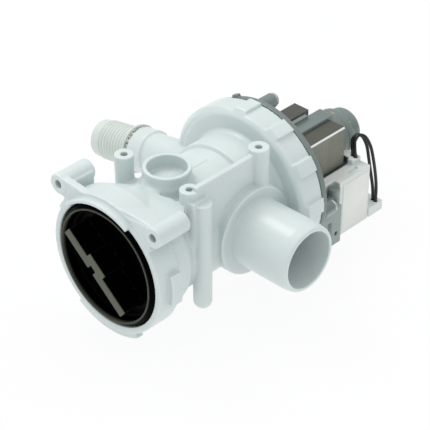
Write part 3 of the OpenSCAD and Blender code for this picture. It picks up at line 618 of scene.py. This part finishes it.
def lined(name, colour, lines, dark, metallic, rough, line_share=1.0, top_shade=0.0, uneven=0.4):
    """Stacked sheets or wound wire: each line has its own tone, with dark joints between."""
    material, tree, shader = start_finish(name, Metallic=metallic)
    stack = place_group(tree, "even_lines", Lines=lines, Unevenness=uneven)
    skin = place_group(tree, "moulded_grain", Grain=900, Cloud=0.25, Rough=rough, Rough_Spread=0.1)
    base = blend(tree, "MULTIPLY", 1.0, colour, skin.outputs["Tint"])
    base = blend(tree, "MULTIPLY", 1.0, base, grey_of(tree, stack.outputs["Tone"]))
    base = blend(tree, "MIX", product(tree, stack.outputs["Line"], line_share), base, dark)
    if top_shade:
        base = blend(tree, "MIX", product(tree, up_facing(tree), top_shade), base, dark)
    bump = LINE_BUMP * line_share
    surface(tree, shader, base, skin.outputs["Roughness"], stack.outputs["Height"], bump, LINE_DEPTH)
    return material


def band(tree, value, start, span, to_low, to_high):
    """A step in a value, over a span in millimetres from a start in metres."""
    return spread(tree, value, start + span[0] * MM, start + span[1] * MM, to_low, to_high)


def on_lip(tree, axes):
    """1 on the front of the fine lip round the cap's dish, where a grey highlight is painted."""
    across = add(tree, "ShaderNodeCombineXYZ")
    wire(tree, axes["X"], across.inputs["X"])
    wire(tree, axes["Z"], across.inputs["Z"])
    reach = add(tree, "ShaderNodeVectorMath", operation="DISTANCE")
    wire(tree, across.outputs[0], reach.inputs[0])
    reach.inputs[1].default_value = (MOUTH.x, 0, MOUTH.z)
    edge = DISH_RADIUS * MM
    past_dish = band(tree, reach.outputs["Value"], edge, LIP_SHEEN_INSIDE, 0, 1)
    before_rim = band(tree, reach.outputs["Value"], edge, LIP_SHEEN_OUTSIDE, 1, 0)
    in_front = band(tree, axes["Y"], MOUTH.y + CAP_FRONT * MM, LIP_SHEEN_DEPTH, 1, 0)
    return product(tree, past_dish, before_rim, in_front)


def cap_black():
    """Black cap with painted grey highlights on its edges, a grip whose front is a rougher satin with a
    painted grey sheen, and a painted grey highlight on the front of the fine lip.
    """
    tint = colours()
    material, tree, shader = start_finish("cap_black", IOR=1.1, Specular_IOR_Level=0.3)
    skin = place_group(tree, "moulded_grain", Grain=2200, Cloud=0.2, Rough=0.3, Rough_Spread=0.05)
    marks = place_group(tree, "edges_and_creases", Reach=0.06)
    axes = axes_of(tree, object_place(tree))
    # The grip's satin front gets a painted grey sheen and the lip's front a painted grey highlight, both
    # rougher
    on_grip = band(tree, axes["Y"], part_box("filter_cap")[0].y, GRIP_SHEEN, 1, 0)
    satin_sheen = math_node(tree, "MAXIMUM", on_grip, product(tree, on_lip(tree, axes), LIP_SHEEN_SHARE))
    satin_sheen = product(tree, satin_sheen, spread(tree, skin.outputs["Height"], *SHEEN_BREAKUP_SPAN, SHEEN_BREAKUP_LEAST, 1))
    base = blend(tree, "MULTIPLY", 1.0, tint.cap, skin.outputs["Tint"])
    # Painted highlight: the cap's edges are lightened towards grey
    lit = product(tree, marks.outputs["Edge"], CAP_EDGE_HIGHLIGHT_SHARE)
    base = blend(tree, "MIX", lit, base, tinted(tint.grip, CAP_EDGE_HIGHLIGHT_TINT))
    base = blend(tree, "MIX", satin_sheen, base, tint.grip)
    rough = spread(tree, satin_sheen, 0, 1, skin.outputs["Roughness"], SATIN_ROUGHNESS)
    surface(tree, shader, base, rough, skin.outputs["Height"], 0.06, GRAIN_DEPTH)
    return material


# Pieces


# In millimetres from the middle of the filter mouth, where no unit is given
CAP_FRONT = -1.3
CAP_DEPTH = 9
DISH_RADIUS = 31.2
LIP_SPAN = (0.3, 0.9)
LIP_FRONT = (0.3, 0.9)
LIP_BEFORE = 0.5
LIP_SOFT = 0.3
RIM_RADIUS = 45
CHAMBER_RADIUS = 31
BOSSES = ((-23.5, 36.5), (23.5, 36.5))
PORT_FILLET = {"reach": (13.1, 17), "reach_soft": 0.8, "along": (28, 34.5), "along_soft": 1}
BOSS_FILLET = {"reach": (5.2, 8.2), "reach_soft": 0.5, "along": (12, 30), "along_soft": 3}
PAD_FILLET = {
    "reach": (RIM_RADIUS - 2.5, RIM_RADIUS + 3), "reach_soft": 0.5, "along": (97.5, 112.6), "along_soft": 0.6
}
PAD_SHARE = 0.15
SEAM_RING = {"y": 24, "radius": 34.25, "steps": 180}
SEAM_TOP = {"x": 1.5, "from": 57.5, "to": 73, "steps": 12, "sunk": 0.4}
BEAD_SIDES = 8
RING = {"inner": 10.8 * MM, "outer": 13 * MM, "notch": 0.9 * MM, "half": 1.1 * MM, "split": 0.12}
TOOTH_STEPS = 4
BRACKET_SOFT = (0, 0.5)
BRACKET_BACK = (6, 7)
BRACKET_TOP = (-9, -7)
BEVEL_LEAN = 0.45
BEVEL_DEPTH = 1.5 * MM
# Width of the painted shadow strip round the stator's foot, and the share of it that is fully dark
FOOT_SHADOW_WIDTH = 2.8 * MM
FOOT_SHADOW_FULL = 0.6


def fillet(shape, reach, along):
    """1 within a fillet's reach from its axis and its span along it."""
    near = inside(reach, *shape["reach"], shape["reach_soft"])
    return near * inside(along, *shape["along"], shape["along_soft"])


def housing_fillets(co):
    """Weights of the moulded fillets: port, feet of the two front bosses and pads of the volute rim."""
    x, y, z = (co - np.array(MOUTH)).T / MM
    weight = fillet(PORT_FILLET, np.hypot(x, y - mount_place("top_port").y), z)
    for at_x, at_y in BOSSES:
        weight = np.maximum(weight, fillet(BOSS_FILLET, np.hypot(x - at_x, y - at_y), z))
    return np.maximum(weight, PAD_SHARE * fillet(PAD_FILLET, np.hypot(x, z), y))


def bead(name, path, width):
    """A fine raised line along a path, half sunk in the wall that carries it."""
    bm = bmesh.new()
    turns = [2 * math.pi * s / BEAD_SIDES for s in range(BEAD_SIDES)]
    rings = []
    for k, middle in enumerate(path):
        ahead = (path[min(k + 1, len(path) - 1)] - path[max(k - 1, 0)]).normalized()
        across = Vector((0, 0, 1)) if abs(ahead.z) < 0.9 else Vector((0, 1, 0))
        side = ahead.cross(across).normalized()
        lift = side.cross(ahead)
        rings.append([
            bm.verts.new(middle + (side * math.cos(t) + lift * math.sin(t)) * width / 2) for t in turns
        ])
    skin_rings(bm, rings)
    obj = bm_object(bm, name)
    obj.data.shade_smooth()
    return obj


def seam_paths():
    """The parting line round the flare behind the mouth, and the one on top of the chamber."""
    ring = []
    radius, steps = SEAM_RING["radius"], SEAM_RING["steps"]
    for k in range(steps + 1):
        turn = math.radians(360 * k / steps)
        ring.append(from_mouth(radius * math.cos(turn), SEAM_RING["y"], radius * math.sin(turn)))
    top = []
    x, steps = SEAM_TOP["x"], SEAM_TOP["steps"]
    for k in range(steps + 1):
        y = SEAM_TOP["from"] + (SEAM_TOP["to"] - SEAM_TOP["from"]) * k / steps
        sunk = SEAM_TOP["sunk"] if k in (0, steps) else 0
        top.append(from_mouth(x, y, math.sqrt(CHAMBER_RADIUS**2 - x**2) - sunk))
    return {"flare_seam": ring, "chamber_seam": top}


class PUMP_OT_housing(Operator):
    """Moulds the white housing with its fillets and parting lines"""

    bl_idname = "pump.housing"
    bl_label = "Housing"

    def execute(self, context):
        size = sizes()
        # Painted highlights on edges, painted shade in creases and painted shade in recesses up to 12 mm from
        # their walls
        white = plastic(
            "housing_white", colours().housing, grain=1700, rough=0.32, crease_shade=0.3, cloud=0.04,
            edge=(0.9, 0.94, 0.93), recess_shade=0.38, recess_shade_reach=12 * MM,
        )
        body = moulded(
            "pump_housing", "housing_moulding", size.housing_cell, size.round_steps,
            soft=housing_fillets, soft_steps=size.fillet_steps,
        )
        settle(body, BODY, "housing_white", white, "pump_housing")
        for name, path in seam_paths().items():
            settle(bead(name, path, size.seam_width), BODY, "housing_white", white)
        return {"FINISHED"}


def toothed_ring(name, teeth):
    """A split lock ring with teeth, round the outlet's axis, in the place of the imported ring."""
    axis = Vector(MOUNTS["outlet_hose"]["axis"])
    low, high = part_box("outlet_retaining_ring")
    middle = (low + high) / 2
    down = (Vector((0, 0, -1)) - axis * -axis.z).normalized()
    side = axis.cross(down)
    inner, half, split = RING["inner"], RING["half"], RING["split"]
    bm = bmesh.new()
    rings = []
    steps = teeth * TOOTH_STEPS
    for k in range(steps + 1):
        turn = split + (2 * math.pi - 2 * split) * k / steps
        out = down * math.cos(turn) + side * math.sin(turn)
        on_tooth = k % TOOTH_STEPS < TOOTH_STEPS / 2
        reach = RING["outer"] if on_tooth else RING["outer"] - RING["notch"]
        rings.append([
            bm.verts.new(middle + out * radius + axis * along)
            for radius, along in ((inner, -half), (reach, -half), (reach, half), (inner, half))
        ])
    skin_rings(bm, rings)
    return bm_object(bm, name)


def speckled_steel():
    """Lock ring of sprung steel: dark grey with painted glints, near-white specks scattered by a noise."""
    material, tree, shader = start_finish("ring_steel", Metallic=0.4)
    drawn = place_group(tree, "metal_streaks", Streak=0.5, Rough=0.3)
    # Painted glints: a fine noise puts near-white specks on the dark steel
    glints = spread(tree, noise(tree, object_place(tree), 560, detail=1), 0.4, 0.52, 0, 1)
    base = blend(tree, "MIX", glints, (0.16, 0.165, 0.15), (0.95, 0.96, 0.94))
    base = blend(tree, "MULTIPLY", 1.0, base, drawn.outputs["Tint"])
    surface(tree, shader, base, drawn.outputs["Roughness"], drawn.outputs["Height"], 0.3, 0.1 * MM)
    return material


class PUMP_OT_outlet(Operator):
    """Moulds the ribbed outlet spigot and cuts the teeth of its lock ring"""

    bl_idname = "pump.outlet"
    bl_label = "Outlet"

    def execute(self, context):
        size = sizes()
        # Painted shade in creases and in small recesses, such as the corner between spigot and flange
        warm = plastic(
            "spigot_white", colours().spigot, grain=2200, rough=0.46, crease_shade=0.8,
            recess_shade=0.6, recess_shade_reach=1.5 * MM,
        )
        spigot = moulded("outlet_spigot", "outlet_spigot_moulding", size.spigot_cell, steps=2)
        settle(spigot, BODY, "spigot_white", warm, "outlet_spigot")
        ring = toothed_ring("lock_ring", size.ring_teeth)
        settle(ring, BODY, "spring_steel", speckled_steel(), "outlet_retaining_ring")
        dress(metal("spring_steel", (0.22, 0.21, 0.19), streak=0.7, rough=0.38), "impeller_clip")
        return {"FINISHED"}


def raise_lip(co):
    """Lifts the fine lip round the cap's dish."""
    x, y, z = (co - np.array(MOUTH)).T / MM
    reach = np.hypot(x, z)
    front = 1 - ramp(y, CAP_FRONT + LIP_FRONT[0], CAP_FRONT + LIP_FRONT[1])
    on_cap = inside(y, CAP_FRONT - LIP_BEFORE, CAP_DEPTH, LIP_SOFT)
    rise = inside(reach, DISH_RADIUS + LIP_SPAN[0], DISH_RADIUS + LIP_SPAN[1], LIP_SOFT) * front * on_cap
    lifted = co.copy()
    lifted[:, 1] -= rise * sizes().lip_rise
    return lifted


class PUMP_OT_filter(Operator):
    """Moulds the filter cap with its lip, and the basket"""

    bl_idname = "pump.filter"
    bl_label = "Filter"

    def execute(self, context):
        size = sizes()
        cap = moulded("filter_cap", "filter_cap_moulding", size.cap_cell, steps=4, shape=raise_lip)
        settle(cap, "filter", "cap_black", cap_black(), "filter_cap")
        satin = plastic("basket_black", (0.012, 0.012, 0.012), grain=1200, cloud=0.2, rough=0.5, bump=0.2)
        basket = moulded("filter_basket", "filter_basket_moulding", size.cover_cell, steps=5)
        settle(basket, "filter", "basket_black", satin, "filter_basket")
        return {"FINISHED"}


def on_bracket(tree):
    """1 on the paler strip that stands out beside the coil cover."""
    axes = axes_of(tree, object_place(tree))
    beside = band(tree, axes["X"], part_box("coil_cover")[1].x, BRACKET_SOFT, 0, 1)
    behind = band(tree, axes["Y"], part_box("motor_plate")[0].y, BRACKET_BACK, 0, 1)
    low = band(tree, axes["Z"], MOUTH.z, BRACKET_TOP, 1, 0)
    return product(tree, beside, behind, low)


class PUMP_OT_motor_plate(Operator):
    """Moulds the grey motor plate with its can, saddle, peg and bracket"""

    bl_idname = "pump.motor_plate"
    bl_label = "Motor plate"

    def execute(self, context):
        size, tint = sizes(), colours().motor
        # Painted highlights on edges, painted shade in creases and recesses, and a paler strip on the bracket
        grey = plastic(
            "motor_grey", tint, cloud=0.12, rough=0.27, edge=tinted(tint, 1.5), recess_shade=0.9, recess_shade_reach=6 * MM,
            part=on_bracket, part_tint=1.5,
        )
        plate = moulded("motor_plate", "motor_plate_moulding", size.motor_cell, size.round_steps)
        settle(plate, BODY, "motor_grey", grey, "motor_plate")
        dress(grey, "bearing_plate")
        return {"FINISHED"}


def cut_sheets(bm, low, high, pitch, groove):
    """Cuts a block into sheets along the pump's axis, with a fine groove at each joint."""
    half = pitch / 2
    joints = []
    for k in range(1, int((high - low) / half)):
        geometry = bm.verts[:] + bm.edges[:] + bm.faces[:]
        cut = bmesh.ops.bisect_plane(
            bm, geom=geometry, dist=WELD, plane_co=(0, low + k * half, 0), plane_no=(0, 1, 0)
        )
        if k % 2 == 0:
            joints += [g for g in cut["geom_cut"] if isinstance(g, bmesh.types.BMVert)]
    bm.normal_update()
    moves = [(v, v.normal.copy()) for v in joints if v.is_valid]
    for vert, normal in moves:
        vert.co -= Vector((normal.x, 0, normal.z)).normalized() * groove


class PUMP_OT_stack(Operator):
    """Cuts the stator into its steel sheets and finishes the rivets"""

    bl_idname = "pump.stack"
    bl_label = "Stator stack"

    def execute(self, context):
        size, tint = sizes(), colours()
        low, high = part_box("stator_core")
        bm = node_mesh("stator_core")
        cut_sheets(bm, low.y, high.y, size.sheet_pitch, size.sheet_groove)
        stack = bm_object(bm, "stator_sheets")
        steel = lined(
            "lamination_steel", tint.stack, lines=1 / size.sheet_pitch, dark=(0.06, 0.055, 0.045),
            metallic=0.3, rough=0.45, line_share=0.15, top_shade=0.75, uneven=0.14,
        )
        settle(stack, BODY, "lamination_steel", steel, "stator_core")
        # Bevels of the poles' tops: bare steel, whose near-white colour is a painted highlight
        ground = metal("ground_edge_and_highlight", (0.98, 0.98, 0.96), streak=0.08, rough=0.3, metallic=0.3)
        stack.data.materials.append(ground)
        for face in stack.data.polygons:
            leans = abs(face.normal.x) > BEVEL_LEAN and face.normal.z > BEVEL_LEAN
            face.material_index = int(leans and face.center.z > high.z - BEVEL_DEPTH)
        zinc = metal("rivet_steel", tint.steel, streak=0.25, rough=0.34)
        rivets = moulded("core_rivets", "stator_rivets", size.small_cell, steps=4)
        settle(rivets, BODY, "screw_steel", zinc, "core_rivets")
        return {"FINISHED"}


def at_stack_foot(tree):
    """1 on a painted shadow: a dark strip on the coil cover round the foot of the stator stack, standing in
    for a gap that the cover's shape does not have.
    """
    axes = axes_of(tree, object_place(tree))
    low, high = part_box("stator_core")
    out = []
    for label, first, last in (("X", low.x, high.x), ("Y", low.y, high.y)):
        before = math_node(tree, "SUBTRACT", first, axes[label])
        after = math_node(tree, "SUBTRACT", axes[label], last)
        out.append(math_node(tree, "MAXIMUM", before, after))
    return spread(tree, math_node(tree, "MAXIMUM", *out), FOOT_SHADOW_WIDTH * FOOT_SHADOW_FULL, FOOT_SHADOW_WIDTH, 1, 0)


class PUMP_OT_cover(Operator):
    """Moulds the coil cover and connector and finishes the bare label and the tabs"""

    bl_idname = "pump.cover"
    bl_label = "Coil cover"

    def execute(self, context):
        size, tint = sizes(), colours()
        # Painted shade in creases and recesses, and a painted shadow strip round the foot of the stator stack
        white = plastic(
            "cover_white", tint.cover, grain=900, rough=0.5, bump=0.3, cloud=0.06, crease_shade=0.35,
            recess_shade=0.6, recess_shade_reach=5 * MM, part=at_stack_foot, part_tint=0.02,
        )
        cover = moulded("coil_cover", "coil_cover_moulding", size.cover_cell, steps=6)
        settle(cover, BODY, "cover_white", white, "coil_cover")
        block = moulded("connector_block", "connector_moulding", size.small_cell, steps=5)
        settle(block, BODY, "cover_white", white, "connector_block")
        cream = plastic("label_cream", tint.label, grain=2600, rough=0.6, bump=0.25, cloud=0.1, crease_shade=0)
        dress(cream, "label")
        dress(metal("tab_brass", (0.72, 0.52, 0.2), streak=0.2, rough=0.3), "terminal_tabs")
        return {"FINISHED"}


class PUMP_OT_leads(Operator):
    """Rounds the two leads between cover and connector"""

    bl_idname = "pump.leads"
    bl_label = "Leads"

    def execute(self, context):
        black = plastic("lead_black", colours().lead, grain=1800, rough=0.3, bump=0.1, cloud=0.3, crease_shade=0)
        leads = moulded("leads", "lead_pair", sizes().small_cell, steps=6)
        settle(leads, BODY, "lead_black", black, "leads")
        return {"FINISHED"}


class PUMP_OT_screws(Operator):
    """Rounds the plate's screws and gives them their zinc"""

    bl_idname = "pump.screws"
    bl_label = "Screws"

    def execute(self, context):
        zinc = metal("screw_steel", colours().steel, streak=0.2, rough=0.28)
        screws = moulded("plate_screws", "plate_screw_set", sizes().small_cell, steps=4)
        settle(screws, BODY, "screw_steel", zinc, "plate_screws")
        dress(zinc, "rotor_shaft")
        return {"FINISHED"}


class PUMP_OT_inner(Operator):
    """Finishes the pieces inside: seals, bushes, rotor, impeller, bobbins and windings"""

    bl_idname = "pump.inner"
    bl_label = "Inner works"

    def execute(self, context):
        rubber = plastic("black_rubber", (0.014, 0.014, 0.014), grain=1100, cloud=0.25, rough=0.62, bump=0.25)
        dress(rubber, "outlet_seal", "cap_seal", "plate_seal", "rear_bush_holder")
        bronze = metal("bush_bronze", (0.46, 0.31, 0.15), streak=0.3, rough=0.42)
        dress(bronze, "front_bush", "rear_bush", "thrust_washer")
        ferrite = plastic("magnet_ferrite", (0.02, 0.02, 0.021), grain=800, cloud=0.3, rough=0.5, bump=0.3)
        dress(ferrite, "rotor_magnet")
        white = plastic("inner_white", (0.68, 0.68, 0.64), grain=1500, rough=0.44, cloud=0.06)
        dress(white, "drive_dog", "impeller", "left_bobbin", "right_bobbin")
        copper = lined(
            "copper_wire", (0.45, 0.17, 0.07), lines=2500, dark=(0.12, 0.04, 0.02), metallic=0.8, rough=0.3
        )
        dress(copper, "left_winding", "right_winding")
        return {"FINISHED"}


# Stage


FLOOR_REACH = 4
FLOOR_DROP = 0.3 * MM
SEEN_GLOW = 0.9
WHITE = (1, 1, 1, 1)
HORIZON = (0.8, 0.92, 1)
ZENITH = (1, 1, 0.97)
KEY_SIZE = 0.65
KEY_PLACE = (-0.75, 0, 1.25)
KEY_TARGET = (0, 0, 0.04)


def seen_plain(tree):
    """1 where the camera looks, also through a clear material, for a white ground."""
    path = add(tree, "ShaderNodeLightPath")
    return math_node(tree, "MAXIMUM", path.outputs["Is Camera Ray"], path.outputs["Is Transmission Ray"])


def mix_surface(tree, factor, first, second, output):
    mix = add(tree, "ShaderNodeMixShader")
    wire(tree, factor, mix.inputs["Fac"])
    wire(tree, first.outputs[0], mix.inputs[1])
    wire(tree, second.outputs[0], mix.inputs[2])
    wire(tree, mix.outputs[0], tree.nodes[output].inputs["Surface"])


def make_floor(colour, glow):
    """A pale floor that glows, and more so where the camera sees it, and still takes shadows."""
    bm = bmesh.new()
    bmesh.ops.create_grid(bm, x_segments=8, y_segments=8, size=FLOOR_REACH)
    floor = bm_object(bm, "floor")
    floor.location.z = -FLOOR_DROP
    material, tree, shader = start_finish(
        "floor_white", Base_Color=(*colour, 1), Roughness=0.9, Specular_IOR_Level=0.1
    )
    white = add(tree, "ShaderNodeEmission")
    white.inputs["Color"].default_value = WHITE
    glowing = spread(tree, seen_plain(tree), 0, 1, glow, SEEN_GLOW)
    mix_surface(tree, glowing, shader, white, "Material Output")
    floor.data.materials.append(material)


def make_world(side, top):
    """A soft sky, brighter overhead than all round, which the camera sees as plain white."""
    world = bpy.data.worlds.new("studio")
    world.use_nodes = True
    tree = world.node_tree
    even = tree.nodes["Background"]
    rise = axes_of(tree, add(tree, "ShaderNodeTexCoord").outputs["Generated"])["Z"]
    wire(tree, spread(tree, rise, 0, 1, side, top), even.inputs["Strength"])
    wire(tree, blend(tree, "MIX", spread(tree, rise, 0, 1, 0, 1), HORIZON, ZENITH), even.inputs["Color"])
    white = add(tree, "ShaderNodeBackground")
    white.inputs["Color"].default_value = WHITE
    mix_surface(tree, seen_plain(tree), even, white, "World Output")
    bpy.context.scene.world = world


def make_lamp(name, power, size, place, target):
    data = bpy.data.lights.new(name, "AREA")
    data.energy = power
    data.shape = "DISK"
    data.size = size
    lamp = bpy.data.objects.new(name, data)
    lamp.location = place
    lamp.rotation_euler = (Vector(target) - Vector(place)).to_track_quat("-Z", "Y").to_euler()
    bpy.context.scene.collection.objects.link(lamp)


def make_camera(stage):
    turn, rise = stage.azimuth, stage.height
    right = Vector((math.cos(turn), math.sin(turn), 0))
    back = Vector((math.sin(turn) * math.cos(rise), -math.cos(turn) * math.cos(rise), math.sin(rise)))
    up = back.cross(right)
    data = bpy.data.cameras.new("camera")
    data.lens = stage.lens
    data.sensor_width = 36
    data.clip_start = 0.05
    data.clip_end = 20
    camera = bpy.data.objects.new("camera", data)
    place = MOUTH + right * stage.aside + up * stage.above + back * stage.distance
    camera.matrix_world = Matrix.Translation(place) @ Matrix((right, up, back)).transposed().to_4x4()
    bpy.context.scene.collection.objects.link(camera)
    bpy.context.scene.camera = camera


class PUMP_OT_stage(Operator):
    """Sets the pale floor, the soft light and the camera"""

    bl_idname = "pump.stage"
    bl_label = "Stage"

    def execute(self, context):
        stage = context.scene.pump_stage
        context.scene.view_settings.view_transform = "Standard"
        make_floor(stage.floor, stage.floor_glow)
        make_world(stage.sky_side, stage.sky_top)
        make_lamp("key", stage.key, KEY_SIZE, KEY_PLACE, KEY_TARGET)
        make_camera(stage)
        return {"FINISHED"}


STEPS = (
    PUMP_OT_stage,
    PUMP_OT_housing,
    PUMP_OT_outlet,
    PUMP_OT_filter,
    PUMP_OT_motor_plate,
    PUMP_OT_stack,
    PUMP_OT_cover,
    PUMP_OT_leads,
    PUMP_OT_screws,
    PUMP_OT_inner,
)


class PUMP_PT_looks(Panel):
    """Lists the pump's pieces"""

    bl_idname = "PUMP_PT_looks"
    bl_label = "Drain pump"
    bl_space_type = "VIEW_3D"
    bl_region_type = "UI"
    bl_category = "Drain pump"

    def draw(self, context):
        for step in STEPS:
            self.layout.operator(step.bl_idname)
        for owner in (context.scene.pump_sizes, context.scene.pump_colours, context.scene.pump_stage):
            box = self.layout.box()
            for key in owner.__annotations__:
                box.prop(owner, key)


CLASSES = (PumpSizes, PumpColours, PumpStage, *STEPS, PUMP_PT_looks)


def register():
    for item in CLASSES:
        bpy.utils.register_class(item)
    bpy.types.Scene.pump_sizes = PointerProperty(type=PumpSizes)
    bpy.types.Scene.pump_colours = PointerProperty(type=PumpColours)
    bpy.types.Scene.pump_stage = PointerProperty(type=PumpStage)


def unregister():
    del bpy.types.Scene.pump_stage
    del bpy.types.Scene.pump_colours
    del bpy.types.Scene.pump_sizes
    for item in reversed(CLASSES):
        bpy.utils.unregister_class(item)


def main():
    register()
    for step in STEPS:
        group, name = step.bl_idname.split(".")
        getattr(getattr(bpy.ops, group), name)()


if __name__ == "__main__":
    main()
